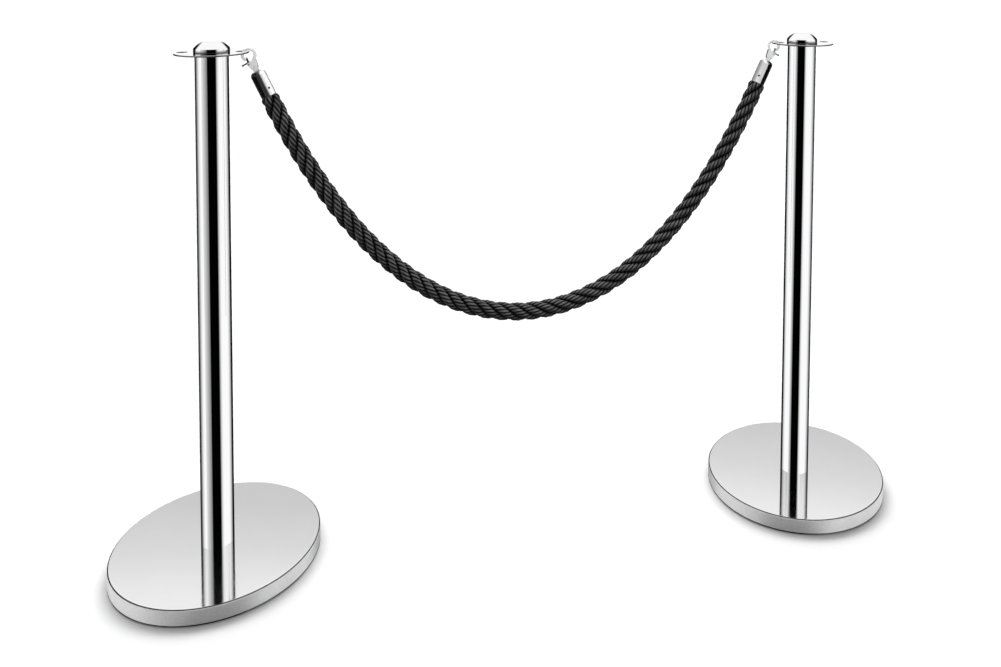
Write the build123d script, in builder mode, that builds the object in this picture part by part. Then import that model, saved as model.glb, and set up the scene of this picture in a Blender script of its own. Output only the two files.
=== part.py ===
from build123d import *
import math
import os

# Two crowd-control rope posts, A and B, joined by a hanging rope.
# Millimetres, +Z up, floor at Z = 0, origin midway between the posts,
# +X from post A to post B, the rope hangs in the plane Y = 0.

# ---------------------------------------------------------------- overall
POST_SPACING = 1140.0        # between the two post axes
TOTAL_H = 950.0              # floor to the top of the crown
POST_X = POST_SPACING / 2

# ---------------------------------------------------------------- base
BASE_R = 180.0
BASE_H = 30.0
COVER_T = 1.2                # sheet thickness of the cover
EDGE_ROUND = 3.0             # top edge of the cover and of the weight
RIM_GAP = 1.5                # the cover's rim ends above the floor
WEIGHT_R = 178.4
PAD_R_IN, PAD_R_OUT, PAD_T = 148.0, 172.0, 4.0
PAD_RECESS = 1.0             # how far the rubber ring sits into the weight
POCKET_R, POCKET_DEPTH = 24.0, 14.0
WASHER_R, WASHER_T = 18.5, 2.5
BOLT_R = 6.0                 # M12 bolt up through the base
BOLT_HEAD_INRADIUS, BOLT_HEAD_H = 9.0, 7.5
BOLT_REACH = 17.0            # bolt end above the cover

WEIGHT_Z = PAD_T - PAD_RECESS
WASHER_Z = WEIGHT_Z + POCKET_DEPTH - WASHER_T

# ---------------------------------------------------------------- pole and head
TUBE_R = 28.5
TUBE_WALL = 1.5
PLUG_R = TUBE_R - TUBE_WALL - 0.05
PLUG_H = 22.0
PLATE_R = 63.0               # ring plate
PLATE_T = 3.0
HOLE_R = 9.5
HOLE_PITCH_R = 49.5          # hole centres from the post axis
CROWN_R = 30.5
CROWN_H = 20.0
CROWN_BAND = 7.0             # straight band of the crown
CROWN_TOP_R = 17.2           # rim of the nearly flat top
CROWN_TOP_RISE = 1.4
CROWN_BORE_CAP = 5.0         # solid metal above the stud's bore
STUD_R = 5.0                 # M10 stud of the crown
STUD_DEPTH = 20.0            # below the ring plate
STUD_TOP_GAP = 1.0           # clearance at the end of the bore
THREAD_GAP = 0.05            # radial gap around bolt and stud threads

PLATE_TOP = TOTAL_H - CROWN_H
PLATE_BOTTOM = PLATE_TOP - PLATE_T

# ---------------------------------------------------------------- rope end fitting
# Stations run along the fitting's axis from the ring plate's hooked hole.
LOOP_STATION = 8.0           # centre of the hook's loop
LOOP_R_IN = 8.3
WIRE_R = 2.5
LOOP_R = LOOP_R_IN + WIRE_R
NECK_R = 4.7
NECK_START, NECK_END = 33.0, 39.9
PIVOT = (23.5, 6.5)          # gate pin: station, offset towards the post
DRILL_LENGTH = 8.0           # cutter for the pivot and screw holes
FERRULE_START, FERRULE_END = 40.2, 90.0
FERRULE_R = 13.5
FERRULE_BORE_R = 12.0
SWIVEL_R = 2.5
SWIVEL_BORE_R = SWIVEL_R + 0.05
SCREW_STATION = 76.0
SCREW_TILT = math.radians(38)  # from -Y, up and away from the post

# ---------------------------------------------------------------- rope
ROPE_R = 17.0
ROPE_END_ROUND = 4.0
ROPE_NECK_R = 11.8
ROPE_NECK_STATION = 52.0     # where the rope's end sits inside the ferrule
ROPE_NECK_OVERLAP = 1.0      # the neck runs on past the ferrule's mouth
ROPE_GAP = 0.3               # ferrule mouth to the full-width rope
ROPE_LOW_Z = 411.0           # rope centreline at its lowest point
ROPE_SPLIT_X = 150.0         # |X| where the middle length ends
SIDE_SPANS, MIDDLE_SPANS = 10, 8  # spline spans in each length

HANG_X = POST_X - (HOLE_PITCH_R + HOLE_R)  # |X| of the point the hook hangs from


def solve_catenary():
    """Find the catenary whose end tangents run through the hang points."""
    low, high = math.radians(50), math.radians(80)
    for _ in range(80):
        angle = (low + high) / 2
        mouth_x = HANG_X - FERRULE_END * math.cos(angle)
        scale = mouth_x / math.asinh(math.tan(angle))
        rope_z = ROPE_LOW_Z + scale * (1 / math.cos(angle) - 1)
        if rope_z > PLATE_TOP - FERRULE_END * math.sin(angle):
            high = angle
        else:
            low = angle
    return angle, mouth_x, scale


# Slope of the fittings, |X| of the ferrule mouths, catenary parameter.
END_ANGLE, MOUTH_X, CATENARY = solve_catenary()


def save(part, name):
    part.label = name
    export_step(part, f"parts/{name}.step")


def level(x, z):
    """Horizontal plane on the axis of the post at x."""
    return Plane(origin=(x, 0, z), x_dir=(1, 0, 0), z_dir=(0, 0, 1))


def upright(x):
    """Plane through a post's axis: local X is the radius, local Y the height."""
    return Plane(origin=(x, 0, 0), x_dir=(1, 0, 0), z_dir=(0, -1, 0))


def post_axis(x):
    return Axis((x, 0, 0), (0, 0, 1))


# ================================================================ post pieces
def base_cover(x):
    """Spun steel cover: flat top, rounded edge, straight rim, open below."""
    inner_r = BASE_R - COVER_T
    under_z = BASE_H - COVER_T
    hole_r = BOLT_R + 0.6
    with BuildPart() as cover:
        with BuildSketch(upright(x)):
            with BuildLine():
                Polyline(
                    (hole_r, BASE_H), (BASE_R, BASE_H), (BASE_R, RIM_GAP),
                    (inner_r, RIM_GAP), (inner_r, under_z), (hole_r, under_z),
                    close=True,
                )
            make_face()
            fillet(vertices().sort_by(Axis.X)[-2:].sort_by(Axis.Y)[-1], EDGE_ROUND)
            inner_corner = vertices().sort_by_distance((inner_r, under_z, 0))[0]
            fillet(inner_corner, EDGE_ROUND - COVER_T)
        revolve(axis=post_axis(x))
    return cover.part


def base_weight(x):
    """Cast filler with a pocket for the bolt head and a groove for the rubber ring."""
    groove_gap = 0.2
    with BuildPart() as weight:
        with BuildSketch(level(x, WEIGHT_Z)):
            Circle(WEIGHT_R)
        extrude(amount=BASE_H - COVER_T - WEIGHT_Z)
        fillet(weight.edges().group_by(Axis.Z)[-1], EDGE_ROUND)
        fillet(weight.edges().group_by(Axis.Z)[0], 1.5)
        with BuildSketch(level(x, WEIGHT_Z)):
            Circle(POCKET_R)
        extrude(amount=POCKET_DEPTH, mode=Mode.SUBTRACT)
        with BuildSketch(level(x, 0)):
            Circle(BOLT_R + 1)
        extrude(amount=BASE_H, mode=Mode.SUBTRACT)
        with BuildSketch(level(x, WEIGHT_Z)):
            Circle(PAD_R_OUT + groove_gap)
            Circle(PAD_R_IN - groove_gap, mode=Mode.SUBTRACT)
        extrude(amount=PAD_RECESS, mode=Mode.SUBTRACT)
    return weight.part


def floor_ring(x):
    """Rubber ring the post stands on."""
    with BuildPart() as ring:
        with BuildSketch(level(x, 0)):
            Circle(PAD_R_OUT)
            Circle(PAD_R_IN, mode=Mode.SUBTRACT)
        extrude(amount=PAD_T)
        chamfer(ring.edges().group_by(Axis.Z)[0], 0.8)
    return ring.part


def base_washer(x):
    """Wide washer against the roof of the weight's pocket."""
    with BuildPart() as washer:
        with BuildSketch(level(x, WASHER_Z)):
            Circle(WASHER_R)
            Circle(BOLT_R + 0.5, mode=Mode.SUBTRACT)
        extrude(amount=WASHER_T)
        chamfer(washer.edges().group_by(Axis.Z)[0], 0.4)
    return washer.part


def base_bolt(x):
    """Hexagon bolt from below, through the base into the foot of the pole."""
    with BuildPart() as bolt:
        with BuildSketch(level(x, WASHER_Z - BOLT_HEAD_H)):
            RegularPolygon(radius=BOLT_HEAD_INRADIUS, side_count=6, major_radius=False)
        extrude(amount=BOLT_HEAD_H)
        chamfer(bolt.edges().group_by(Axis.Z)[0], 0.6)
        with BuildSketch(level(x, WASHER_Z)):
            Circle(BOLT_R)
        extrude(amount=BASE_H + BOLT_REACH - WASHER_Z)
        chamfer(bolt.edges().group_by(Axis.Z)[-1], 1.0)
    return bolt.part


def pole_tube(x):
    """Tube from the cover up to the ring plate."""
    with BuildPart() as tube:
        with BuildSketch(level(x, BASE_H)):
            Circle(TUBE_R)
            Circle(TUBE_R - TUBE_WALL, mode=Mode.SUBTRACT)
        extrude(amount=PLATE_BOTTOM - BASE_H)
    return tube.part


def tube_plug(x, z, thread_r, chamfered_end):
    """Bored plug inside the tube; chamfered_end is 0 for the bottom, -1 for the top."""
    with BuildPart() as plug:
        with BuildSketch(level(x, z)):
            Circle(PLUG_R)
            Circle(thread_r + THREAD_GAP, mode=Mode.SUBTRACT)
        extrude(amount=PLUG_H)
        chamfer(plug.edges().group_by(Axis.Z)[chamfered_end], 1.0)
    return plug.part


def foot_insert(x):
    return tube_plug(x, BASE_H, BOLT_R, chamfered_end=-1)


def head_insert(x):
    return tube_plug(x, PLATE_BOTTOM - PLUG_H, STUD_R, chamfered_end=0)


def ring_plate(x):
    """Round plate with four holes for rope hooks."""
    with BuildPart() as plate:
        with BuildSketch(level(x, PLATE_BOTTOM)):
            Circle(PLATE_R)
            Circle(STUD_R + 0.3, mode=Mode.SUBTRACT)
        extrude(amount=PLATE_T)
        rim = plate.edges().filter_by(GeomType.CIRCLE).sort_by(SortBy.RADIUS)[-2:]
        fillet(rim, 1.2)
        with BuildSketch(level(x, PLATE_BOTTOM)):
            with PolarLocations(HOLE_PITCH_R, 4):
                Circle(HOLE_R)
        extrude(amount=PLATE_T, mode=Mode.SUBTRACT)
    return plate.part


def crown(x):
    """Low crown: straight band, convex bevel, nearly flat domed top."""
    bore_r = STUD_R + THREAD_GAP
    bore_top = TOTAL_H - CROWN_BORE_CAP
    foot_chamfer = 0.6
    band_top = (CROWN_R, PLATE_TOP + CROWN_BAND)
    bevel_mid = (24.4, PLATE_TOP + CROWN_BAND + 6.3)
    dome_rim = (CROWN_TOP_R, TOTAL_H - CROWN_TOP_RISE)
    dome_r = (CROWN_TOP_R**2 + CROWN_TOP_RISE**2) / (2 * CROWN_TOP_RISE)
    mid_angle = math.asin(CROWN_TOP_R / dome_r) / 2
    dome_mid = (dome_r * math.sin(mid_angle), TOTAL_H - dome_r * (1 - math.cos(mid_angle)))
    with BuildPart() as cap:
        with BuildSketch(upright(x)):
            with BuildLine():
                Polyline(
                    (bore_r, PLATE_TOP),
                    (CROWN_R - foot_chamfer, PLATE_TOP),
                    (CROWN_R, PLATE_TOP + foot_chamfer),
                    band_top,
                )
                ThreePointArc(band_top, bevel_mid, dome_rim)
                ThreePointArc(dome_rim, dome_mid, (0, TOTAL_H))
                Polyline((0, TOTAL_H), (0, bore_top), (bore_r, bore_top), (bore_r, PLATE_TOP))
            make_face()
        revolve(axis=post_axis(x))
    return cap.part


def crown_stud(x):
    """Stud that clamps crown, ring plate and tube together."""
    stud_z = PLATE_BOTTOM - STUD_DEPTH
    with BuildPart() as stud:
        with BuildSketch(level(x, stud_z)):
            Circle(STUD_R)
        extrude(amount=TOTAL_H - CROWN_BORE_CAP - STUD_TOP_GAP - stud_z)
        chamfer(stud.edges().filter_by(GeomType.CIRCLE), 0.8)
    return stud.part


# ================================================================ rope end pieces
def fitting_plane(side):
    """Frame of a rope end at post A (side -1) or B (side 1).

    Local X runs down the rope, local Y points towards the post and local Z
    lies across the rope.
    """
    return Plane(
        origin=(side * HANG_X, 0, PLATE_TOP),
        x_dir=(-side * math.cos(END_ANGLE), 0, -math.sin(END_ANGLE)),
        z_dir=(0, -side, 0),
    )


def fitting_axis(fitting):
    return Axis(fitting.origin, fitting.x_dir)


def fitting_point(fitting, station, offset=0.0):
    return fitting.from_local_coords(Vector(station, offset, 0))


def screw_plane(fitting):
    """Plane on the ferrule's axis that faces out along the grub screw."""
    outward = Vector(0, -1, 0) * math.cos(SCREW_TILT) - fitting.y_dir * math.sin(SCREW_TILT)
    return Plane(
        origin=fitting_point(fitting, SCREW_STATION), x_dir=fitting.x_dir, z_dir=outward
    )


def hook_body(fitting):
    """Cast hook: round loop open towards the post, forked lug and bored neck.

    It is drawn flat in the fitting's own frame and then set in place.
    """
    lug_t, slot_t = 6.2, 2.9
    lug_circles = [  # centre, radius
        (PIVOT, 3.1),
        ((31.0, 0.0), 6.8),
        ((20.2, -5.4), 2.6),
    ]
    with BuildPart() as hook:
        with BuildSketch(Plane.XY.offset(-lug_t / 2)):
            for centre, radius in lug_circles:
                with Locations(centre):
                    Circle(radius)
            make_hull()
        extrude(amount=lug_t)
        fillet(hook.edges().filter_by(GeomType.CIRCLE), 0.6)

        # Neck, chamfered at both ends
        with BuildSketch(Plane.XY):
            with BuildLine():
                Polyline(
                    (NECK_START, 0),
                    (NECK_START, NECK_R - 0.8),
                    (NECK_START + 0.8, NECK_R),
                    (NECK_END - 0.6, NECK_R),
                    (NECK_END, NECK_R - 0.6),
                    (NECK_END, 0),
                    close=True,
                )
            make_face()
        revolve(axis=Axis.X)

        # Wire loop, running on into the lug, with a ball at its free tip
        with BuildLine(Plane.XY) as spine:
            loop = CenterArc((LOOP_STATION, 0), LOOP_R, 60, 240)
            Spline(loop @ 1, (26.5, 0), tangents=[loop % 1, (1, 0.25)])
        with BuildSketch(Plane(origin=spine.line @ 0, z_dir=spine.line % 0)):
            Circle(WIRE_R)
        sweep(path=spine.line)
        with Locations(spine.line @ 0):
            Sphere(WIRE_R)

        # Bore for the swivel pin
        with BuildSketch(Plane(origin=(NECK_START + 3.6, 0, 0), z_dir=(1, 0, 0))):
            Circle(SWIVEL_R + 0.02)
        extrude(amount=5, mode=Mode.SUBTRACT)

        # Slot for the gate, stepped to spare the loop's tip
        with BuildSketch(Plane.XY.offset(-slot_t / 2)):
            with BuildLine():
                Polyline((13.5, 1.5), (27.8, 1.5), (27.8, 12.5), (13.5, 12.5), close=True)
            make_face()
            with BuildLine():
                Polyline((12.8, 6.5), (16.6, 6.5), (16.6, 13.0), (12.8, 13.0), close=True)
            make_face(mode=Mode.SUBTRACT)
        extrude(amount=slot_t, mode=Mode.SUBTRACT)

        # Pivot hole
        with BuildSketch(Plane.XY.offset(-DRILL_LENGTH / 2)):
            with Locations(PIVOT):
                Circle(1.02)
        extrude(amount=DRILL_LENGTH, mode=Mode.SUBTRACT)
    return hook.part.moved(fitting.location)


def hook_gate(fitting):
    """Flat lever closing the loop from inside, with a ball-ended thumb lug."""
    lever_t, lug_t = 2.6, 2.0
    lever_circles = [(PIVOT, 2.1), ((11.2, 5.0), 1.1)]       # centre, radius
    lug_circles = [((20.4, 7.2), 1.6), ((21.0, 16.6), 1.1)]  # centre, radius
    with BuildPart() as gate:
        for circles, thickness in ((lever_circles, lever_t), (lug_circles, lug_t)):
            with BuildSketch(fitting.offset(-thickness / 2)):
                for centre, radius in circles:
                    with Locations(centre):
                        Circle(radius)
                make_hull()
            extrude(amount=thickness)
        with Locations(fitting_point(fitting, 21.0, 17.0)):
            Sphere(2.1)
        with BuildSketch(fitting.offset(-DRILL_LENGTH / 2)):
            with Locations(PIVOT):
                Circle(1.05)
        extrude(amount=DRILL_LENGTH, mode=Mode.SUBTRACT)
    return gate.part


def gate_pin(fitting):
    """Two-headed rivet the gate turns on."""
    shank_r, shank_length = 1.0, 7.2
    head_r, head_t = 1.7, 0.55
    head_face = 3.7              # outer face of each head from the mid plane
    with BuildPart() as pin:
        with BuildSketch(fitting.offset(-shank_length / 2)):
            with Locations(PIVOT):
                Circle(shank_r)
        extrude(amount=shank_length)
        with BuildSketch(fitting.offset(-head_face), fitting.offset(head_face - head_t)):
            with Locations(PIVOT):
                Circle(head_r)
        extrude(amount=head_t)
    return pin.part


def gate_spring(fitting):
    """Leaf spring that holds the gate shut."""
    width = 2.4
    outline = [  # station, offset towards the post
        (27.4, 1.7), (24.5, 1.7), (22.4, 2.2), (17.5, 3.8),
        (17.65, 4.2), (22.55, 2.58), (24.6, 2.1), (27.4, 2.1),
    ]
    with BuildPart() as spring:
        with BuildSketch(fitting.offset(-width / 2)):
            with BuildLine():
                Polyline(*outline, close=True)
            make_face()
        extrude(amount=width)
    return spring.part


def swivel_pin(fitting):
    """Headed pin, fixed in the neck; the ferrule turns on it."""
    outline = [  # station, radius
        (36.7, 0), (36.7, SWIVEL_R), (44.6, SWIVEL_R), (44.6, 5.5),
        (46.6, 5.5), (47.4, 4.6), (47.4, 0),
    ]
    with BuildPart() as pin:
        with BuildSketch(fitting):
            with BuildLine():
                Polyline(*outline, close=True)
            make_face()
        revolve(axis=fitting_axis(fitting))
    return pin.part


def ferrule(fitting):
    """Drawn cup with a domed end, open towards the rope."""
    nose_r, floor_r = 5.5, 7.0   # flats outside and inside the domed end
    floor_station = FERRULE_START + 4.0
    outer_round = FERRULE_R - nose_r
    inner_round = FERRULE_BORE_R - floor_r
    rim_chamfer, mouth_chamfer = 0.7, 0.3
    diagonal = math.sin(math.pi / 4)
    shoulder = (FERRULE_START + outer_round, FERRULE_R)
    bore_end = (floor_station + inner_round, FERRULE_BORE_R)
    with BuildPart() as cup:
        with BuildSketch(fitting):
            with BuildLine():
                Line((FERRULE_START, SWIVEL_BORE_R), (FERRULE_START, nose_r))
                ThreePointArc(
                    (FERRULE_START, nose_r),
                    (FERRULE_START + outer_round * (1 - diagonal), nose_r + outer_round * diagonal),
                    shoulder,
                )
                Polyline(
                    shoulder,
                    (FERRULE_END - rim_chamfer, FERRULE_R),
                    (FERRULE_END, FERRULE_R - rim_chamfer),
                    (FERRULE_END, FERRULE_BORE_R + mouth_chamfer),
                    (FERRULE_END - mouth_chamfer, FERRULE_BORE_R),
                    bore_end,
                )
                ThreePointArc(
                    bore_end,
                    (floor_station + inner_round * (1 - diagonal), floor_r + inner_round * diagonal),
                    (floor_station, floor_r),
                )
                Polyline(
                    (floor_station, floor_r),
                    (floor_station, SWIVEL_BORE_R),
                    (FERRULE_START, SWIVEL_BORE_R),
                )
            make_face()
        revolve(axis=fitting_axis(fitting))
        with BuildSketch(screw_plane(fitting).offset(8)):
            Circle(2.1)
        extrude(amount=DRILL_LENGTH, mode=Mode.SUBTRACT)
    return cup.part


def ferrule_screw(fitting):
    """Grub screw with a hexagon socket, through the ferrule's wall."""
    plane = screw_plane(fitting)
    with BuildPart() as screw:
        with BuildSketch(plane.offset(FERRULE_BORE_R - 0.05)):
            Circle(2.05)
        extrude(amount=1.75)
        rims = screw.edges().filter_by(GeomType.CIRCLE)
        chamfer(rims.sort_by(lambda edge: edge.center().dot(plane.z_dir))[-1], 0.25)
        with BuildSketch(plane.offset(FERRULE_BORE_R + 0.8)):
            RegularPolygon(radius=1.0, side_count=6, major_radius=False)
        extrude(amount=2, mode=Mode.SUBTRACT)
    return screw.part


# ================================================================ rope
def rope_length(x_from, x_to, spans, fitting=None):
    """Rope along the catenary; with a fitting, its start is narrowed into the ferrule."""
    xs = [x_from + (x_to - x_from) * i / spans for i in range(spans + 1)]
    points = [(x, ROPE_LOW_Z + CATENARY * (math.cosh(x / CATENARY) - 1)) for x in xs]
    sign = math.copysign(1.0, x_to - x_from)
    tangents = [(sign, sign * math.sinh(x / CATENARY)) for x in (x_from, x_to)]
    with BuildPart() as rope:
        with BuildLine(upright(0)) as path:
            Spline(*points, tangents=tangents)
        with BuildSketch(Plane(origin=path.line @ 0, z_dir=path.line % 0)):
            Circle(ROPE_R)
        sweep(path=path.line)
        if fitting is not None:
            upper_end = rope.faces().filter_by(GeomType.PLANE).sort_by(Axis.Z)[-1]
            fillet(upper_end.edges(), ROPE_END_ROUND)
            neck_origin = fitting_point(fitting, ROPE_NECK_STATION)
            with BuildSketch(Plane(origin=neck_origin, z_dir=fitting.x_dir)):
                Circle(ROPE_NECK_R)
            extrude(amount=FERRULE_END + ROPE_NECK_OVERLAP - ROPE_NECK_STATION)
    return rope.part


# ================================================================ build and save
POST_PIECES = (
    base_cover, base_weight, floor_ring, base_washer, base_bolt, pole_tube,
    foot_insert, head_insert, ring_plate, crown, crown_stud,
)
END_PIECES = (
    hook_body, hook_gate, gate_pin, gate_spring, swivel_pin, ferrule, ferrule_screw,
)

os.makedirs("parts", exist_ok=True)

rope_start_x = MOUTH_X - ROPE_GAP * math.cos(END_ANGLE)
for tag, side, rope_name in (("a", -1, "rope_left"), ("b", 1, "rope_right")):
    for piece in POST_PIECES:
        save(piece(side * POST_X), f"{piece.__name__}_{tag}")
    end_frame = fitting_plane(side)
    for piece in END_PIECES:
        save(piece(end_frame), f"{piece.__name__}_{tag}")
    side_rope = rope_length(side * rope_start_x, side * ROPE_SPLIT_X, SIDE_SPANS, end_frame)
    save(side_rope, rope_name)

save(rope_length(-ROPE_SPLIT_X, ROPE_SPLIT_X, MIDDLE_SPANS), "rope_middle")
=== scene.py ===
import math

import bmesh
import bpy
import numpy as np
from mathutils import Matrix, Vector


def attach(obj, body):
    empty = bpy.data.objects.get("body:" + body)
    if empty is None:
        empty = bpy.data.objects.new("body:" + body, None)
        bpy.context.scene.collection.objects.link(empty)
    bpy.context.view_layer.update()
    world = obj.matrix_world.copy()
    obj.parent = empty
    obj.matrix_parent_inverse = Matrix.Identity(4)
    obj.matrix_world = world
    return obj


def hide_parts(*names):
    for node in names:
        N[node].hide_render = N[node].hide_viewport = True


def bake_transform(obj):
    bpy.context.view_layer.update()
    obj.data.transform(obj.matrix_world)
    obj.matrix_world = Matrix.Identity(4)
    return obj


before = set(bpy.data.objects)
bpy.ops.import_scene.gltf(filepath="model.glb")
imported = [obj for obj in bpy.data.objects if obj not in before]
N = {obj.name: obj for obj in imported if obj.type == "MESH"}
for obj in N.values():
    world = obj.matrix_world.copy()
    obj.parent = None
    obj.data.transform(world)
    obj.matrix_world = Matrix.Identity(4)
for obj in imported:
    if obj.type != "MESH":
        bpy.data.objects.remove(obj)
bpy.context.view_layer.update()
scene = bpy.context.scene
POSTS = {"a": -0.570, "b": 0.570}


# ------------------------------------------------------------------ node helpers
def new_material(name):
    m = bpy.data.materials.new(name)
    m.use_nodes = True
    t = m.node_tree
    t.nodes.clear()
    out = t.nodes.new("ShaderNodeOutputMaterial")
    bsdf = t.nodes.new("ShaderNodeBsdfPrincipled")
    t.links.new(bsdf.outputs[0], out.inputs[0])
    return m, t, bsdf


def node(t, kind, **values):
    n = t.nodes.new(kind)
    for k, v in values.items():
        if k.startswith("i_"):
            n.inputs[k[2:].replace("_", " ")].default_value = v
        else:
            setattr(n, k, v)
    return n


def math_node(t, op, a, b=None, clamp=False):
    n = t.nodes.new("ShaderNodeMath")
    n.operation = op
    n.use_clamp = clamp
    for i, v in enumerate((a, b)):
        if v is None:
            continue
        if isinstance(v, (int, float)):
            n.inputs[i].default_value = v
        else:
            t.links.new(v, n.inputs[i])
    return n.outputs[0]


def map_range(t, value, a, b, c, d, smooth=False):
    n = t.nodes.new("ShaderNodeMapRange")
    n.clamp = True
    if smooth:
        n.interpolation_type = "SMOOTHSTEP"
    t.links.new(value, n.inputs["Value"])
    for k, v in (("From Min", a), ("From Max", b), ("To Min", c), ("To Max", d)):
        n.inputs[k].default_value = v
    return n.outputs[0]


def ramp(t, value, stops):
    n = t.nodes.new("ShaderNodeValToRGB")
    e = n.color_ramp.elements
    while len(e) > 1:
        e.remove(e[-1])
    e[0].position, e[0].color = stops[0][0], (*[stops[0][1]] * 3, 1) if isinstance(stops[0][1], float) else (*stops[0][1], 1)
    for p, c in stops[1:]:
        s = e.new(p)
        s.color = (*[c] * 3, 1) if isinstance(c, float) else (*c, 1)
    t.links.new(value, n.inputs[0])
    return n.outputs[0]


def noise(t, vector, scale, detail=2.0, rough=0.5):
    n = t.nodes.new("ShaderNodeTexNoise")
    n.inputs["Scale"].default_value = scale
    n.inputs["Detail"].default_value = detail
    n.inputs["Roughness"].default_value = rough
    t.links.new(vector, n.inputs["Vector"])
    return n.outputs[0]


def coords(t, scale=(1, 1, 1), rotation=(0, 0, 0)):
    tc = t.nodes.new("ShaderNodeTexCoord")
    mp = t.nodes.new("ShaderNodeMapping")
    mp.inputs["Scale"].default_value = scale
    mp.inputs["Rotation"].default_value = rotation
    t.links.new(tc.outputs["Object"], mp.inputs["Vector"])
    return mp.outputs[0]


def bump(t, bsdf, height, strength, distance):
    b = t.nodes.new("ShaderNodeBump")
    b.inputs["Strength"].default_value = strength
    b.inputs["Distance"].default_value = distance
    t.links.new(height, b.inputs["Height"])
    t.links.new(b.outputs[0], bsdf.inputs["Normal"])


# ------------------------------------------------------------------ metals
def vec_math(t, op, a, b=None):
    n = t.nodes.new("ShaderNodeVectorMath")
    n.operation = op
    for i, v in enumerate((a, b)):
        if v is None:
            continue
        if isinstance(v, tuple):
            n.inputs[i].default_value = v
        else:
            t.links.new(v, n.inputs[i])
    return n.outputs[1] if op in ("DOT_PRODUCT", "LENGTH", "DISTANCE") else n.outputs[0]


def side_edge(t, start, end):
    """Mask for painted dark reflections: 1 on surfaces that turn away to the left or right of the viewer, 0 elsewhere:
    upright walls seen side on.
    """
    g = t.nodes.new("ShaderNodeNewGeometry")
    n_h = vec_math(t, "MULTIPLY", g.outputs["Normal"], (1.0, 1.0, 0.0))
    i_h = vec_math(t, "NORMALIZE", vec_math(t, "MULTIPLY", g.outputs["Incoming"], (1.0, 1.0, 0.0)))
    facing = math_node(t, "ABSOLUTE", vec_math(t, "DOT_PRODUCT", vec_math(t, "NORMALIZE", n_h), i_h))
    upright = map_range(t, vec_math(t, "LENGTH", n_h), 0.45, 0.7, 0.0, 1.0, True)
    return math_node(t, "MULTIPLY", map_range(t, facing, start, end, 0.0, 1.0, True), upright)


# Paints shade and dark reflections into the colour: towards dark where factor is 1, with the specular dimmed there.
def paint_dark_shade(t, bsdf, colour, factor, dark):
    mx = node(t, "ShaderNodeMix", data_type="RGBA")
    t.links.new(factor, mx.inputs["Factor"])
    t.links.new(colour, mx.inputs[6])
    mx.inputs[7].default_value = (dark, dark, dark * 1.01, 1)
    t.links.new(mx.outputs[2], bsdf.inputs["Base Color"])
    # keep the painted dark line dark at grazing angles too
    t.links.new(map_range(t, factor, 0.0, 1.0, 0.5, 0.0), bsdf.inputs["Specular IOR Level"])
    tint = node(t, "ShaderNodeMix", data_type="RGBA")
    t.links.new(factor, tint.inputs["Factor"])
    tint.inputs[6].default_value = (1, 1, 1, 1)
    tint.inputs[7].default_value = (dark, dark, dark, 1)
    t.links.new(tint.outputs[2], bsdf.inputs["Specular Tint"])


def polished(name, tint, r_lo, r_hi, stretch=(1, 1, 1), smear=60.0, bump_h=0.0, edge=None, dark=0.14, metallic=1.0, low=None):
    """Mirror polish: a trace of buffing haze, drawn out along the polishing direction.
    edge paints dark reflections down the sides, low = (z0, z1, amount) paints shade on the metal towards a neighbour
    below it."""
    m, t, b = new_material(name)
    v = coords(t, stretch)
    haze = noise(t, v, smear, 4.0, 0.6)
    cloud = noise(t, coords(t), 9.0, 3.0, 0.5)
    mix = math_node(t, "MULTIPLY", haze, cloud)
    t.links.new(map_range(t, mix, 0.12, 0.42, r_lo, r_hi), b.inputs["Roughness"])
    colour = ramp(t, cloud, [(0.3, tuple(c * 0.985 for c in tint)), (0.7, tint)])
    if edge:
        factor = side_edge(t, *edge)
        if low:
            sep = t.nodes.new("ShaderNodeSeparateXYZ")
            t.links.new(coords(t), sep.inputs[0])
            factor = math_node(t, "MAXIMUM", factor, map_range(t, sep.outputs[2], low[0], low[1], low[2], 0.0, True))
        paint_dark_shade(t, b, colour, factor, dark)
    else:
        t.links.new(colour, b.inputs["Base Color"])
    b.inputs["Metallic"].default_value = metallic
    if bump_h:
        bump(t, b, haze, 0.25, bump_h)
    return m


# Tube, crown and hook get painted dark reflections down their sides; the crown also gets painted shade at its foot,
# next to the ring plate.
TUBE = polished("polished_tube", (0.97, 0.97, 0.98), 0.012, 0.045, (1, 1, 0.02), 260.0, edge=(0.74, 0.36), dark=0.17)
HEAD = polished("polished_crown", (0.96, 0.96, 0.97), 0.02, 0.07, (1, 1, 1), 120.0, edge=(0.62, 0.42), dark=0.05, low=(0.9302, 0.9362, 0.86))
BASE_TOP = polished("polished_base_top", (0.95, 0.95, 0.95), 0.03, 0.085, (1, 1, 1), 90.0)
HOOK = polished("nickel_plate_hook", (0.93, 0.93, 0.935), 0.30, 0.42, (1, 1, 1), 300.0, 0.00003, edge=(0.72, 0.35), dark=0.05, metallic=0.12)
GATE = polished("nickel_plate_gate", (0.20, 0.20, 0.205), 0.10, 0.20, (1, 1, 1), 400.0, 0.00003)


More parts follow.
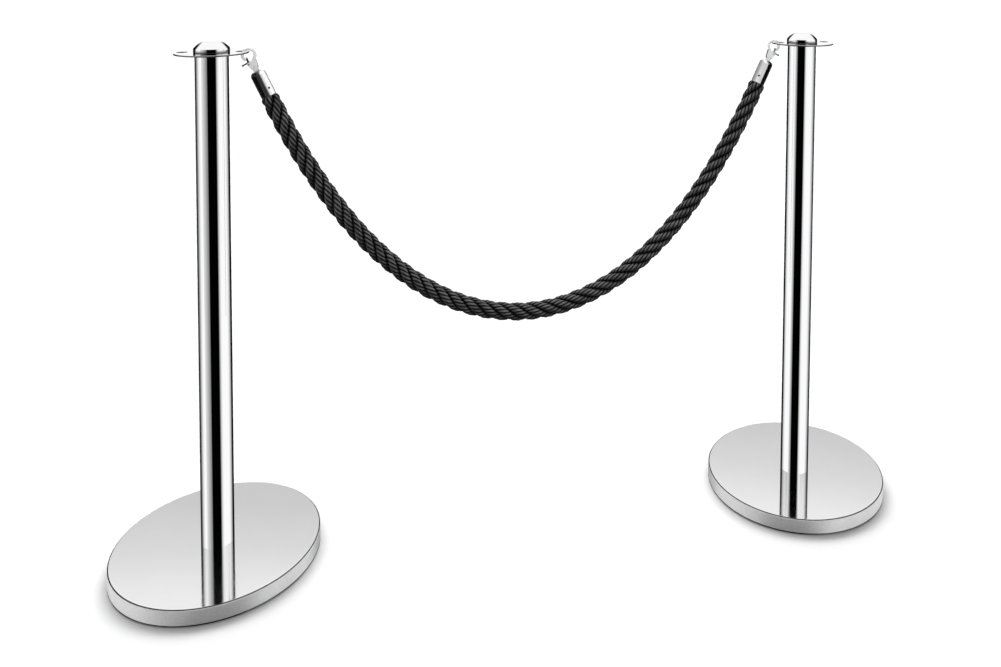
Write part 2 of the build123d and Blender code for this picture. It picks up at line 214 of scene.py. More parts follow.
def ferrule_metal():
    """Chrome plate with a painted reflection: painted dark on its lower side, a painted white highlight band, then
    painted grey on the side facing up.
    """
    m, t, b = new_material("chrome_plate_ferrule")
    v = coords(t)
    haze = noise(t, v, 300.0, 4.0, 0.6)
    t.links.new(map_range(t, haze, 0.3, 0.7, 0.10, 0.2), b.inputs["Roughness"])
    b.inputs["Metallic"].default_value = 1.0
    g = t.nodes.new("ShaderNodeNewGeometry")
    at, nn = t.nodes.new("ShaderNodeSeparateXYZ"), t.nodes.new("ShaderNodeSeparateXYZ")
    t.links.new(g.outputs["Position"], at.inputs[0])
    t.links.new(g.outputs["Normal"], nn.inputs[0])
    side = math_node(t, "SIGN", at.outputs[0])
    painted_band = math_node(t, "SUBTRACT", math_node(t, "MULTIPLY", math_node(t, "MULTIPLY", nn.outputs[0], side), 0.91),
                      math_node(t, "MULTIPLY", nn.outputs[2], 0.415))
    painted_band = math_node(t, "ADD", math_node(t, "ADD", painted_band, 0.29), math_node(t, "MULTIPLY", side, -0.17))
    painted_band = math_node(t, "ADD", painted_band, math_node(t, "MULTIPLY", math_node(t, "SUBTRACT", haze, 0.5), 0.04))
    # painted reflection band from the normal's lean: grey-dark, a white highlight, dark, a thin light line, dark
    tone = ramp(t, map_range(t, painted_band, -1.3, 1.3, 0.0, 1.0), [
        (0.0, 0.30), (0.20, 0.34), (0.24, 0.58), (0.29, 0.80), (0.34, 1.0), (0.52, 1.0), (0.556, 0.32), (0.59, 0.055),
        (0.74, 0.05), (0.78, 0.085), (0.92, 0.09), (0.935, 0.08), (0.955, 0.62), (0.975, 0.08), (1.0, 0.03)])
    # painted dark reflections on the sides seen edge on
    paint_dark_shade(t, b, tone, side_edge(t, 0.42, 0.22), 0.05)
    # the plating mirrors the white ceiling all round
    lift = vec_math(t, "NORMALIZE", vec_math(t, "ADD", vec_math(t, "MULTIPLY", g.outputs["Normal"], (1.0, 1.0, 0.4)), (0.0, 0.0, 1.3)))
    t.links.new(lift, b.inputs["Normal"])
    return m


PLATED = ferrule_metal()


def ring_plate_metal():
    """Polished plate with painted shade: its cut edges, above all inside the four holes, and its underside are painted
    dark: painted shade in the holes and underneath, a painted dark reflection on the outer edges.
    """
    m, t, b = new_material("polished_ring_plate")
    v = coords(t)
    cloud = noise(t, v, 40.0, 3.0)
    t.links.new(map_range(t, cloud, 0.3, 0.7, 0.02, 0.07), b.inputs["Roughness"])
    g = t.nodes.new("ShaderNodeNewGeometry")
    wp = t.nodes.new("ShaderNodeSeparateXYZ")
    tc = t.nodes.new("ShaderNodeTexCoord")
    t.links.new(tc.outputs["Object"], wp.inputs[0])
    x = math_node(t, "ABSOLUTE", math_node(t, "SUBTRACT", math_node(t, "ABSOLUTE", wp.outputs[0]), 0.570))
    y = math_node(t, "ABSOLUTE", wp.outputs[1])
    big, small = math_node(t, "MAXIMUM", x, y), math_node(t, "MINIMUM", x, y)
    cmb = t.nodes.new("ShaderNodeCombineXYZ")
    t.links.new(big, cmb.inputs[0])
    t.links.new(small, cmb.inputs[1])
    d = vec_math(t, "DISTANCE", cmb.outputs[0], (0.0495, 0.0, 0.0))
    # painted shade on the hole walls, a painted dark reflection on the outer edges, painted shade on the underside
    in_hole = map_range(t, d, 0.0099, 0.0096, 0.0, 1.0)
    n_h = vec_math(t, "LENGTH", vec_math(t, "MULTIPLY", g.outputs["Normal"], (1.0, 1.0, 0.0)))
    wall = math_node(t, "MULTIPLY", in_hole, map_range(t, n_h, 0.3, 0.6, 0.0, 1.0, True))
    sides = map_range(t, n_h, 0.4, 0.8, 0.0, 0.86, True)
    nz = t.nodes.new("ShaderNodeSeparateXYZ")
    t.links.new(g.outputs["Normal"], nz.inputs[0])
    below = map_range(t, nz.outputs[2], -0.4, -0.8, 0.0, 0.94, True)
    plate_shade = math_node(t, "MAXIMUM", math_node(t, "MAXIMUM", wall, sides), math_node(t, "MAXIMUM", below, side_edge(t, 0.62, 0.35)))
    paint_dark_shade(t, b, ramp(t, cloud, [(0.3, (0.94, 0.94, 0.945)), (0.7, (0.96, 0.96, 0.97))]), plate_shade, 0.03)
    b.inputs["Metallic"].default_value = 1.0
    return m


PLATE = ring_plate_metal()


def satin_rim():
    """Fine satin turned band of the base's rim, grain running round the disc."""
    m, t, b = new_material("satin_rim")
    grain = noise(t, coords(t, (1, 1, 60)), 40.0, 5.0, 0.7)
    cloud = noise(t, coords(t), 14.0, 2.0)
    t.links.new(map_range(t, grain, 0.3, 0.7, 0.34, 0.50), b.inputs["Roughness"])
    speck = noise(t, coords(t, (1, 1, 4)), 210.0, 4.0, 0.7)
    tone = math_node(t, "ADD", math_node(t, "MULTIPLY", speck, 0.7), math_node(t, "MULTIPLY", cloud, 0.3))
    # the floor gets little light back from the rim, which deepens the contact shadow
    path = t.nodes.new("ShaderNodeLightPath")
    dim = node(t, "ShaderNodeMix", data_type="RGBA")
    t.links.new(path.outputs["Is Diffuse Ray"], dim.inputs["Factor"])
    t.links.new(ramp(t, tone, [(0.35, 0.66), (0.65, 0.84)]), dim.inputs[6])
    dim.inputs[7].default_value = (0.06, 0.06, 0.06, 1)
    t.links.new(dim.outputs[2], b.inputs["Base Color"])
    b.inputs["Metallic"].default_value = 0.55
    bump(t, b, grain, 0.2, 0.00004)
    return m


def painted_dark_edge():
    """The crisp shoulder between the polished top and the rim, and the rolled hem at the foot, painted near black: a
    painted dark reflection on the shoulder, painted contact shade at the hem.
    """
    m, t, b = new_material("base_shoulder")
    n = noise(t, coords(t), 120.0, 3.0)
    t.links.new(ramp(t, n, [(0.3, 0.045), (0.7, 0.10)]), b.inputs["Base Color"])
    b.inputs["Metallic"].default_value = 1.0
    b.inputs["Roughness"].default_value = 0.12
    b.inputs["Specular Tint"].default_value = (0.2, 0.2, 0.2, 1)
    return m


RIM, SHOULDER = satin_rim(), painted_dark_edge()


def zinc():
    m, t, b = new_material("zinc_steel")
    v = coords(t)
    spangle = t.nodes.new("ShaderNodeTexVoronoi")
    spangle.inputs["Scale"].default_value = 420.0
    t.links.new(v, spangle.inputs["Vector"])
    n = noise(t, v, 90.0, 4.0, 0.6)
    t.links.new(ramp(t, spangle.outputs["Distance"], [(0.0, (0.50, 0.51, 0.53)), (1.0, (0.68, 0.69, 0.70))]), b.inputs["Base Color"])
    t.links.new(map_range(t, n, 0.3, 0.7, 0.25, 0.45), b.inputs["Roughness"])
    b.inputs["Metallic"].default_value = 1.0
    bump(t, b, n, 0.2, 0.00005)
    return m


def dark_screw():
    m, t, b = new_material("blackened_screw")
    n = noise(t, coords(t), 700.0, 4.0, 0.6)
    t.links.new(ramp(t, n, [(0.35, 0.02), (0.7, 0.07)]), b.inputs["Base Color"])
    t.links.new(map_range(t, n, 0.3, 0.7, 0.28, 0.5), b.inputs["Roughness"])
    b.inputs["Metallic"].default_value = 1.0
    bump(t, b, n, 0.3, 0.00005)
    return m


def rubber():
    m, t, b = new_material("floor_rubber")
    n = noise(t, coords(t), 500.0, 5.0, 0.65)
    c = noise(t, coords(t), 30.0, 3.0)
    t.links.new(ramp(t, c, [(0.3, 0.012), (0.7, 0.03)]), b.inputs["Base Color"])
    t.links.new(map_range(t, n, 0.3, 0.7, 0.6, 0.85), b.inputs["Roughness"])
    bump(t, b, n, 0.5, 0.0002)
    return m


def cast():
    m, t, b = new_material("cast_filler")
    v = coords(t)
    n = noise(t, v, 220.0, 8.0, 0.7)
    pits = t.nodes.new("ShaderNodeTexVoronoi")
    pits.inputs["Scale"].default_value = 160.0
    t.links.new(v, pits.inputs["Vector"])
    hole = map_range(t, pits.outputs["Distance"], 0.05, 0.22, 0.0, 1.0, True)
    t.links.new(ramp(t, n, [(0.3, (0.22, 0.215, 0.20)), (0.7, (0.42, 0.41, 0.39))]), b.inputs["Base Color"])
    b.inputs["Roughness"].default_value = 0.92
    bump(t, b, math_node(t, "ADD", math_node(t, "MULTIPLY", hole, 0.6), n), 0.6, 0.0008)
    return m


ZINC, SCREW, RUBBER, CAST = zinc(), dark_screw(), rubber(), cast()


# ------------------------------------------------------------------ rope material
def rope_material():
    """Black satin cord: each cord is a bundle of fine twisted filaments, with a painted sheen along its crest, lighter
    on sides that face up as painted light from above, and painted shade keeping the valleys black.
    """
    m, t, b = new_material("black_satin_rope")
    uv = node(t, "ShaderNodeUVMap", uv_map="cord")
    sep = t.nodes.new("ShaderNodeSeparateXYZ")
    t.links.new(uv.outputs[0], sep.inputs[0])
    around, along = sep.outputs[0], sep.outputs[1]
    # filaments wind round the cord: u counts turns, v is metres along it
    phase = math_node(t, "ADD", math_node(t, "MULTIPLY", around, 2 * math.pi * 9), math_node(t, "MULTIPLY", along, 5200.0))
    wobble = noise(t, coords(t), 260.0, 3.0)
    phase = math_node(t, "ADD", phase, math_node(t, "MULTIPLY", wobble, 5.0))
    yarn = map_range(t, math_node(t, "SINE", phase), -1, 1, 0, 1)
    fibre = noise(t, coords(t), 2200.0, 3.0, 0.7)
    height = math_node(t, "ADD", math_node(t, "MULTIPLY", yarn, 0.8), math_node(t, "MULTIPLY", fibre, 0.5))
    patch = noise(t, coords(t), 55.0, 3.0)
    crest = node(t, "ShaderNodeAttribute", attribute_name="crest").outputs["Fac"]
    uneven = math_node(t, "ADD", map_range(t, patch, 0.3, 0.7, 0.45, 0.95), math_node(t, "MULTIPLY", yarn, 0.25))
    # painted light from above: the colour is lighter on sides that face up
    up_ = t.nodes.new("ShaderNodeSeparateXYZ")
    g = t.nodes.new("ShaderNodeNewGeometry")
    t.links.new(g.outputs["Normal"], up_.inputs[0])
    painted_top_light = map_range(t, up_.outputs[2], -0.75, 0.55, 0.22, 1.2, True)
    painted_sheen = math_node(t, "MULTIPLY", math_node(t, "MULTIPLY", crest, uneven), painted_top_light)
    # painted sheen on the crests and painted shade in the valleys, set into the base colour
    t.links.new(ramp(t, painted_sheen, [(0.0, (0.0022, 0.0022, 0.0024)), (0.35, (0.007, 0.007, 0.0075)), (1.0, (0.085, 0.085, 0.089))]),
                b.inputs["Base Color"])
    t.links.new(map_range(t, fibre, 0.3, 0.7, 0.33, 0.5), b.inputs["Roughness"])
    front = map_range(t, vec_math(t, "DOT_PRODUCT", g.outputs["Normal"], g.outputs["Incoming"]), 0.15, 0.65, 0.0, 1.0, True)
    t.links.new(math_node(t, "MULTIPLY", math_node(t, "MULTIPLY", painted_sheen, front), 1.0), b.inputs["Specular IOR Level"])
    bump(t, b, height, 0.5, 0.00022)
    return m


ROPE = rope_material()


# ------------------------------------------------------------------ CAD nodes
def paint(name, material):
    o = N[name]
    o.data.materials.clear()
    o.data.materials.append(material)


for t_ in "ab":
    for n_, mat in (
        ("base_cover_", BASE_TOP), ("base_weight_", CAST), ("floor_ring_", RUBBER), ("base_washer_", ZINC),
        ("base_bolt_", ZINC), ("pole_tube_", TUBE), ("foot_insert_", ZINC), ("head_insert_", ZINC),
        ("ring_plate_", PLATE), ("crown_", HEAD), ("crown_stud_", ZINC), ("hook_body_", HOOK),
        ("hook_gate_", GATE), ("gate_pin_", ZINC), ("gate_spring_", ZINC), ("swivel_pin_", HOOK),
        ("ferrule_", PLATED), ("ferrule_screw_", SCREW),
    ):
        paint(n_ + t_, mat)
for n_ in ("rope_left", "rope_middle", "rope_right"):
    paint(n_, ROPE)


# ------------------------------------------------------------------ lathe work
def make_object(name, verts, faces, materials, smooth_angle=32, face_mats=None):
    me = bpy.data.meshes.new(name)
    me.from_pydata([tuple(v) for v in verts], [], faces)
    me.validate()
    for m in materials:
        me.materials.append(m)
    if face_mats is not None:
        me.polygons.foreach_set("material_index", np.array(face_mats, np.int32))
    me.shade_smooth()
    me.set_sharp_from_angle(angle=math.radians(smooth_angle))
    me.update()
    o = bpy.data.objects.new(name, me)
    scene.collection.objects.link(o)
    return o


def lathe(name, cx, profile, materials, closed=True, segs=192, mats=None, angle=32):
    """Turned solid about a vertical axis at X=cx. profile: (r, z) pairs in mm, anticlockwise seen with r to the right,
    r = 0 marks a pole. mats gives a material index for each profile edge."""
    verts, rings = [], []
    for r, z in profile:
        if r < 1e-6:
            rings.append([len(verts)])
            verts.append((cx, 0.0, z / 1000))
        else:
            rings.append(list(range(len(verts), len(verts) + segs)))
            for i in range(segs):
                a = 2 * math.pi * i / segs
                verts.append((cx + r / 1000 * math.cos(a), r / 1000 * math.sin(a), z / 1000))
    faces, fm = [], []
    count = len(profile) if closed else len(profile) - 1
    for k in range(count):
        a, b = rings[k], rings[(k + 1) % len(profile)]
        mi = mats[k] if mats else 0
        if len(a) == 1 and len(b) == 1:
            continue
        for i in range(segs):
            j = (i + 1) % segs
            if len(a) == 1:
                faces.append((a[0], b[j], b[i]))
            elif len(b) == 1:
                faces.append((a[i], a[j], b[0]))
            else:
                faces.append((a[i], a[j], b[j], b[i]))
            fm.append(mi)
    return make_object(name, verts, faces, materials, angle, fm)


def arc(cx, cz, r, a0, a1, n):
    return [(cx + r * math.cos(math.radians(a0 + (a1 - a0) * i / n)), cz + r * math.sin(math.radians(a0 + (a1 - a0) * i / n))) for i in range(n + 1)]


def circle_through(p, q, r, n):
    """n + 1 points on the arc from p through q to r."""
    ax, az, bx, bz, cx, cz = *p, *q, *r
    d = 2 * (ax * (bz - cz) + bx * (cz - az) + cx * (az - bz))
    ux = ((ax**2 + az**2) * (bz - cz) + (bx**2 + bz**2) * (cz - az) + (cx**2 + cz**2) * (az - bz)) / d
    uz = ((ax**2 + az**2) * (cx - bx) + (bx**2 + bz**2) * (ax - cx) + (cx**2 + cz**2) * (bx - ax)) / d
    rad = math.hypot(ax - ux, az - uz)
    a0, a1 = math.degrees(math.atan2(az - uz, ax - ux)), math.degrees(math.atan2(cz - uz, cx - ux))
    return arc(ux, uz, rad, a0, a1, n)


for tag, x0 in POSTS.items():
    body = "post_" + tag
    # Spun cover with a rolled hem: polished top, satin rim, a painted dark line on the shoulder and at the hem.
    prof, mats = [], []

    def add(points, mat):
        for p in points:
            prof.append(p)
            mats.append(mat)

    add([(6.6, 28.8)], 0)
    add([(60, 28.8), (140, 28.8), (177.0, 28.8)], 0)
    add(arc(177.0, 27.0, 1.8, 80, 0, 5), 1)
    add([(178.8, 15.0), (178.8, 2.1)], 1)
    add(arc(179.4, 2.1, 0.6, 180, 360, 8), 2)
    add([(180.0, 3.8), (180.0, 15.0), (180.0, 26.6)], 1)
    add(arc(177.0, 27.0, 3.0, 0, 36, 7), 1)
    mats[-1] = 2
    add(arc(177.0, 27.0, 3.0, 42, 74, 6), 2)
    add(arc(177.0, 27.0, 3.0, 78, 90, 3), 0)
    add([(174.0, 30.0), (150.0, 30.0), (110.0, 30.0), (70.0, 30.0), (36.0, 30.0), (6.6, 30.0)], 0)
    cover = lathe("visual_base_cover_" + tag, x0, prof, [BASE_TOP, RIM, SHOULDER], segs=256, mats=mats)
    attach(cover, body)
    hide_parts("base_cover_" + tag)

    # Tube, square at the foot, its edges softly broken elsewhere.
    tube_prof = [(27.4, 30.0), (28.5, 30.0)]
    tube_prof += [(28.5, 30.0 + (926.5 - 30.0) * i / 12) for i in range(1, 13)]
    tube_prof += [(28.1, 927.0), (27.4, 927.0), (27.0, 926.6), (27.0, 30.4)]
    tube = lathe("visual_pole_tube_" + tag, x0, tube_prof, [TUBE], segs=160)
    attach(tube, body)
    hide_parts("pole_tube_" + tag)

    # Crown: straight band, convex bevel, nearly flat domed top.
    c_prof = [(0, 945.0), (5.05, 945.0), (5.05, 930.0), (20, 930.0), (29.8, 930.0)]
    c_prof += arc(29.8, 930.7, 0.7, -75, 0, 5)
    c_prof += [(30.5, 933.5), (30.5, 936.4)]
    c_prof += circle_through((30.5, 937.0), (24.4, 943.3), (17.2, 948.6), 14)
    big = (17.2**2 + 1.4**2) / (2 * 1.4)
    for i in range(1, 12):
        r = 17.2 * (1 - i / 12)
        c_prof.append((r, 950.0 - (big - math.sqrt(big * big - r * r))))
    c_prof += [(0, 950.0)]
    crown = lathe("visual_crown_" + tag, x0, c_prof, [HEAD], closed=False, segs=160, angle=28)
    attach(crown, body)
    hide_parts("crown_" + tag)


# The polished tubes show only the studio: what stands beside them is left out of their reflections.
for t_ in "ab":
    for n_ in ("base_weight_", "floor_ring_", "base_washer_", "base_bolt_", "foot_insert_", "hook_body_", "hook_gate_",
               "gate_pin_", "gate_spring_", "swivel_pin_", "ferrule_", "ferrule_screw_"):
        N[n_ + t_].visible_glossy = False
    bpy.data.objects["visual_base_cover_" + t_].visible_glossy = False


# ------------------------------------------------------------------ rope
HANG_X, PLATE_Z, FIT, LOW = 511.0, 930.0, 90.0, 411.0
lo, hi = math.radians(50), math.radians(80)
for _ in range(80):
    PHI = (lo + hi) / 2
    END_X = HANG_X - FIT * math.cos(PHI)
    CAT = END_X / math.asinh(math.tan(PHI))
    if LOW + CAT * (1 / math.cos(PHI) - 1) > PLATE_Z - FIT * math.sin(PHI):
        hi = PHI
    else:
        lo = PHI
S_END = CAT * math.sinh(END_X / CAT)
LAY = 2 * math.pi / 121.0          # strands, right-hand lay
CORD_TURN = -0.149                 # cords turn the other way
R_STRAND, R_CORD, CORD = 9.9, 4.8, 2.6


def rope_frame(s):
    """Centre, tangent and up-normal of the hanging rope at arc length s (mm) from its lowest point."""
    sc = np.clip(s, -S_END, S_END)
    x = CAT * np.arcsinh(sc / CAT)
    z = LOW + CAT * (np.cosh(x / CAT) - 1)
    tx, tz = 1 / np.cosh(x / CAT), np.tanh(x / CAT)
    extra = s - sc
    c = np.stack([x + extra * tx, 0 * x, z + extra * tz], 1)
    t = np.stack([tx, 0 * x, tz], 1)
    n = np.stack([-tz, 0 * x, tx], 1)
    return c, t, n


def unit(v):
    return v / np.linalg.norm(v, axis=1, keepdims=True)


def tube_mesh(path, ref, radii, sides, length, rad_ratio=1.0):
    """Closed tube round a path. ref gives the outward side of the section at each point."""
    t = unit(np.gradient(path, axis=0))
    n1 = unit(ref - (ref * t).sum(1, keepdims=True) * t)
    n2 = np.cross(t, n1)
    k = len(path)
    b = np.arange(sides) * 2 * math.pi / sides
    proud = np.broadcast_to(np.clip((np.cos(b) - 0.30) / 0.62, 0, 1)[None, :], (k, sides)).ravel()
    ring = path[:, None, :] + radii[:, None, None] * (
        rad_ratio * np.cos(b)[None, :, None] * n1[:, None, :] + np.sin(b)[None, :, None] * n2[:, None, :]
    )
    verts = ring.reshape(-1, 3)
    i = np.arange(k - 1)[:, None] * sides
    j = np.arange(sides)[None, :]
    jn = (j + 1) % sides
    quads = np.stack([i + j, i + jn, i + sides + jn, i + sides + j], -1).reshape(-1, 4)
    u0 = np.broadcast_to(j / sides, (k - 1, sides))
    u1 = np.broadcast_to((j + 1) / sides, (k - 1, sides))
    v0 = np.broadcast_to(length[:-1, None] / 1000, (k - 1, sides))
    v1 = np.broadcast_to(length[1:, None] / 1000, (k - 1, sides))
    uv = np.stack([np.stack([u0, v0], -1), np.stack([u1, v0], -1), np.stack([u1, v1], -1), np.stack([u0, v1], -1)], 2)
    start, end = list(range(sides))[::-1], [len(verts) - sides + a for a in range(sides)]
    return verts, quads, uv.reshape(-1, 2), [start, end], proud.copy()


def rope_strand(name, j, s0, s1, steps):
    s = np.linspace(s0, s1, steps)
    c, t, n = rope_frame(s)
    bvec = np.cross(t, n)
    over = np.abs(s) - S_END
    u = np.clip((over + 7.5) / 7.5, 0, 1)
    grip = 1 - 0.325 * u * u * (3 - 2 * u)       # drawn in where the ferrule grips it
    # a little unevenness in how tightly each strand lies
    loose = 1 + 0.012 * np.sin(s * 0.021 + 1.7 * j) + 0.008 * np.sin(s * 0.057 + 0.9 * j)
    th = LAY * s + j * math.pi / 2 + 0.6
    er = np.cos(th)[:, None] * n + np.sin(th)[:, None] * bvec
    cs = c + (R_STRAND * grip * loose)[:, None] * er
    ts = unit(np.gradient(cs, axis=0))
    e1 = unit(er - (er * ts).sum(1, keepdims=True) * ts)
    e2 = np.cross(ts, e1)
    vs, fs, uvs, caps, crest, base = [], [], [], [], [], 0
    core = tube_mesh(cs, e1, 3.6 * grip, 8, s)
    # the core gets no crest: it is painted in full shade
    core[4][:] = 0.0
    parts = [core]
    for k in range(5):
        g = (CORD_TURN - LAY) * s + 2 * math.pi * k / 5 + 0.8 * j
        d = np.cos(g)[:, None] * e1 + np.sin(g)[:, None] * e2
        p = cs + (R_CORD * grip)[:, None] * d
        parts.append(tube_mesh(p, d, CORD * grip, 10, s + 131.0 * k + 57.0 * j, 0.93))
    for v, q, uv, cap, proud in parts:
        vs.append(v)
        # how far out of the rope's valleys a point lies, and how near the cord's crest: the mask for the rope's painted
        # sheen and painted valley shade
        away = np.linalg.norm(v.reshape(len(s), -1, 3) - c[:, None, :], axis=2) / (17.0 * grip[:, None])
        out_ = np.clip((away.ravel() - 0.74) / 0.20, 0, 1)
        crest.append(proud * out_ * out_ * (3 - 2 * out_))
        fs += (q + base).tolist()
        uvs.append(uv)
        caps += [[a + base for a in f] for f in cap]
        base += len(v)
    verts = np.concatenate(vs) / 1000
    o = make_object(name, verts.tolist(), fs + caps, [ROPE], 60)
    values = np.concatenate(crest).astype(np.float32)
    assert len(values) == len(o.data.vertices)
    o.data.attributes.new("crest", "FLOAT", "POINT").data.foreach_set("value", values)
    layer = o.data.uv_layers.new(name="cord")
    flat = np.concatenate(uvs)
    pad = np.zeros((len(layer.data) - len(flat), 2))
    layer.data.foreach_set("uv", np.concatenate([flat, pad]).astype(np.float32).ravel())
    return o


# The polished tubes do not mirror the rope: the strands' dark valleys are painted shade in their material.
STEPS = 390
for j in range(4):
    left = rope_strand(f"rope_strand_{j + 1}_left", j, -S_END - 5.0, 0.0, STEPS)
    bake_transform(left)
    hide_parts("rope_left", "rope_middle")
    left.visible_glossy = False
    right = rope_strand(f"rope_strand_{j + 1}_right", j, 0.0, S_END + 5.0, STEPS)
    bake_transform(right)
    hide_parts("rope_right", "rope_middle")
    right.visible_glossy = False


# ------------------------------------------------------------------ stage: floor, cards, world
def stage_plane(name, corners, material):
    me = bpy.data.meshes.new(name)
    me.from_pydata(corners, [], [tuple(range(len(corners)))])
    me.materials.append(material)
    uv = me.uv_layers.new(name="card")
    for i, p in enumerate([(0, 0), (1, 0), (1, 1), (0, 1)]):
        uv.data[i].uv = p
    o = bpy.data.objects.new(name, me)
    scene.collection.objects.link(o)
    return o


fm, ft, fb = new_material("pale_floor")
fn = noise(ft, coords(ft), 3.0, 2.0)
ft.links.new(ramp(ft, fn, [(0.3, 0.955), (0.7, 0.965)]), fb.inputs["Base Color"])
fb.inputs["Roughness"].default_value = 1.0
fb.inputs["Specular IOR Level"].default_value = 0.0
floor = stage_plane("floor", [(-30, -30, -0.0002), (30, -30, -0.0002), (30, 30, -0.0002), (-30, 30, -0.0002)], fm)
floor.visible_glossy = False


def card(name, p0, p1, stops, z0=-4.0, z1=3.0):
    """Upright reflector seen only in polished metal, and only by walls: a wall seen from above mirrors downwards, the
    bases' tops mirror upwards and pass it by. stops give its brightness from p0 to p1."""
    m = bpy.data.materials.new(name)
    m.use_nodes = True
    t = m.node_tree
    t.nodes.clear()
    out = t.nodes.new("ShaderNodeOutputMaterial")
    em = t.nodes.new("ShaderNodeEmission")
    uv = node(t, "ShaderNodeUVMap", uv_map="card")
    sep = t.nodes.new("ShaderNodeSeparateXYZ")
    t.links.new(uv.outputs[0], sep.inputs[0])
    t.links.new(ramp(t, sep.outputs[0], stops), em.inputs[0])
    g = t.nodes.new("ShaderNodeNewGeometry")
    inc = t.nodes.new("ShaderNodeSeparateXYZ")
    t.links.new(g.outputs["Incoming"], inc.inputs[0])
    clear = t.nodes.new("ShaderNodeBsdfTransparent")
    mix = t.nodes.new("ShaderNodeMixShader")
    # a wall that is itself mirrored in a base still shows the card
    path = t.nodes.new("ShaderNodeLightPath")
    twice = math_node(t, "GREATER_THAN", path.outputs["Glossy Depth"], 1.5)
    t.links.new(math_node(t, "MAXIMUM", map_range(t, inc.outputs[2], -0.06, 0.0, 0.0, 1.0, True), twice), mix.inputs[0])
    t.links.new(clear.outputs[0], mix.inputs[1])
    t.links.new(em.outputs[0], mix.inputs[2])
    t.links.new(mix.outputs[0], out.inputs[0])
    o = stage_plane(name, [(p0[0], p0[1], z0), (p1[0], p1[1], z0), (p1[0], p1[1], z1), (p0[0], p0[1], z1)], m)
    o.visible_camera = False
    o.visible_diffuse = False
    o.visible_transmission = False
    o.visible_volume_scatter = False
    o.visible_shadow = False
    return o


card("dark_card", (-0.954, -0.960), (0.574, -1.565), [(0.0, 0.0006), (1.0, 0.0004)])
card("left_card", (-1.60, -0.50), (-0.954, -0.960), [(0.0, 0.80), (0.45, 0.55), (0.9, 0.24), (1.0, 0.19)])
card("right_card", (0.574, -1.565), (0.954, -0.956), [(0.0, 0.11), (0.35, 0.55), (0.7, 0.86), (1.0, 1.0)])

world = bpy.data.worlds.new("studio")
scene.world = world
world.use_nodes = True
wt = world.node_tree
wt.nodes.clear()
wout = wt.nodes.new("ShaderNodeOutputWorld")
tc = wt.nodes.new("ShaderNodeTexCoord")
sx = wt.nodes.new("ShaderNodeSeparateXYZ")
wt.links.new(tc.outputs["Generated"], sx.inputs[0])
X, Y, Z = sx.outputs
lp = wt.nodes.new("ShaderNodeLightPath")
az = math_node(wt, "MULTIPLY", math_node(wt, "ARCTAN2", X, math_node(wt, "MULTIPLY", Y, -1.0)), 180 / math.pi)
el = math_node(wt, "MULTIPLY", math_node(wt, "ARCSINE", Z), 180 / math.pi)
# behind the set the ceiling darkens towards the horizon; it draws the grey sweep on the polished bases
az360 = math_node(wt, "ADD", az, math_node(wt, "MULTIPLY", math_node(wt, "LESS_THAN", az, 0.0), 360.0))
el_eff = math_node(wt, "ADD", el, math_node(
    wt, "ADD", map_range(wt, az360, 160.0, 184.0, 1.4, -2.1), map_range(wt, az360, 184.0, 197.0, 0.0, 2.3)))
sky = ramp(wt, map_range(wt, el_eff, 0, 90, 0, 1), [
    (0.0, 1.0), (20 / 90, 1.0), (24 / 90, 0.62), (29.2 / 90, 0.625), (31.4 / 90, 0.73),
    (33.3 / 90, 0.885), (35.5 / 90, 0.925), (44 / 90, 1.0), (1.0, 1.0)])
# a dim quarter behind the set, seen only by walls: it gives the tubes their stripe from the back too
aside = math_node(wt, "ABSOLUTE", math_node(wt, "SUBTRACT", az360, 174.0))
twice = math_node(wt, "GREATER_THAN", lp.outputs["Glossy Depth"], 1.5)
dim = math_node(wt, "MULTIPLY", map_range(wt, aside, 30.0, 44.0, 1.0, 0.0, True),
                math_node(wt, "MAXIMUM", map_range(wt, Z, 0.0, -0.05, 0.0, 1.0, True), twice))
bg_gloss = wt.nodes.new("ShaderNodeBackground")
dimmed = node(wt, "ShaderNodeMix", data_type="RGBA")
wt.links.new(dim, dimmed.inputs["Factor"])
wt.links.new(sky, dimmed.inputs[6])
dimmed.inputs[7].default_value = (0.05, 0.05, 0.051, 1)
wt.links.new(dimmed.outputs[2], bg_gloss.inputs[0])
bg_gloss.inputs[1].default_value = 1.0
# soft light, mostly from above and behind the set, so that short contact shadows fall to the front
bg_soft = wt.nodes.new("ShaderNodeBackground")
behind = map_range(wt, Y, 0.05, 0.55, 0.0, 1.0, True)
above = map_range(wt, Z, 0.50, 0.78, 0.0, 1.0, True)
soft = math_node(wt, "ADD", math_node(wt, "MULTIPLY", math_node(wt, "MULTIPLY", behind, above), 6.05), 0.57)
wt.links.new(soft, bg_soft.inputs[1])
bg_seen = wt.nodes.new("ShaderNodeBackground")
bg_seen.inputs[0].default_value = (1, 1, 1, 1)
mix_seen = wt.nodes.new("ShaderNodeMixShader")
wt.links.new(lp.outputs["Is Camera Ray"], mix_seen.inputs[0])
wt.links.new(bg_soft.outputs[0], mix_seen.inputs[1])
wt.links.new(bg_seen.outputs[0], mix_seen.inputs[2])
mixs = wt.nodes.new("ShaderNodeMixShader")
wt.links.new(lp.outputs["Is Glossy Ray"], mixs.inputs[0])
wt.links.new(mix_seen.outputs[0], mixs.inputs[1])
wt.links.new(bg_gloss.outputs[0], mixs.inputs[2])
wt.links.new(mixs.outputs[0], wout.inputs[0])

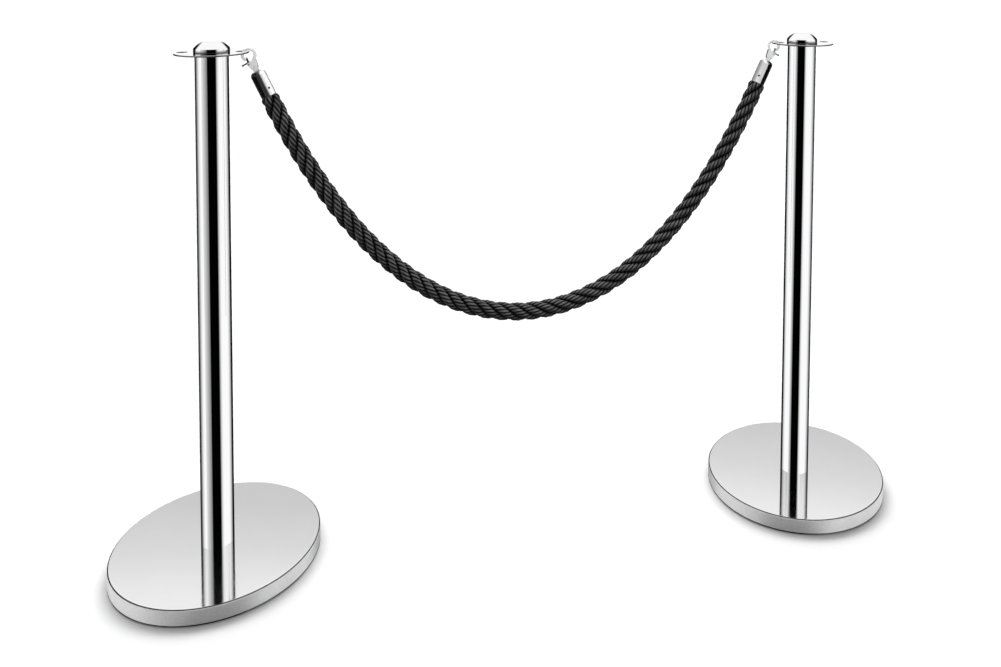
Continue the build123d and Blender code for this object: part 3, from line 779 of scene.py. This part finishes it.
scene.view_settings.view_transform = "Standard"
scene.view_settings.look = "None"
scene.view_settings.exposure = 0.0
scene.view_settings.gamma = 1.0

# ------------------------------------------------------------------ camera
CAM = (-244.06, -1725.66, 1121.78)
YAW, PITCH, ROLL, F_PX, CX, CY = 0.2195, 0.0478, 0.0077, 904.79, 599.55, -9.12
cam_data = bpy.data.cameras.new("camera")
cam = bpy.data.objects.new("camera", cam_data)
scene.collection.objects.link(cam)
scene.camera = cam
fwd = np.array([math.sin(YAW), math.cos(YAW), 0.0])
rgt = np.array([math.cos(YAW), -math.sin(YAW), 0.0])
up = np.array([0, 0, 1.0])
f2 = math.cos(PITCH) * fwd - math.sin(PITCH) * up
u2 = math.sin(PITCH) * fwd + math.cos(PITCH) * up
r3 = math.cos(ROLL) * rgt + math.sin(ROLL) * u2
u3 = -math.sin(ROLL) * rgt + math.cos(ROLL) * u2
cam.matrix_world = Matrix((
    (r3[0], u3[0], -f2[0], CAM[0] / 1000),
    (r3[1], u3[1], -f2[1], CAM[1] / 1000),
    (r3[2], u3[2], -f2[2], CAM[2] / 1000),
    (0, 0, 0, 1),
))
cam_data.sensor_width = 36.0
cam_data.sensor_fit = "HORIZONTAL"
cam_data.lens = F_PX / 1001 * 36.0
cam_data.clip_start, cam_data.clip_end = 0.05, 100.0
# The lens is shifted, as on a view camera that stays level. The shift belongs to this
# standpoint only: from anywhere else the lens is centred again.
for prop, value in (("shift_x", (500.5 - CX) / 1001), ("shift_y", (CY - 333.5) / 1001)):
    setattr(cam_data, prop, value)
    d = cam_data.driver_add(prop).driver
    d.type = "SCRIPTED"
    for var, kind in (("x", "LOC_X"), ("y", "LOC_Y"), ("z", "LOC_Z")):
        v = d.variables.new()
        v.name = var
        v.type = "TRANSFORMS"
        v.targets[0].id = cam
        v.targets[0].transform_type = kind
        v.targets[0].transform_space = "WORLD_SPACE"
    d.expression = "%.6f if abs(x - %.5f) + abs(y - %.5f) + abs(z - %.5f) < 0.002 else 0.0" % (
        value, CAM[0] / 1000, CAM[1] / 1000, CAM[2] / 1000)
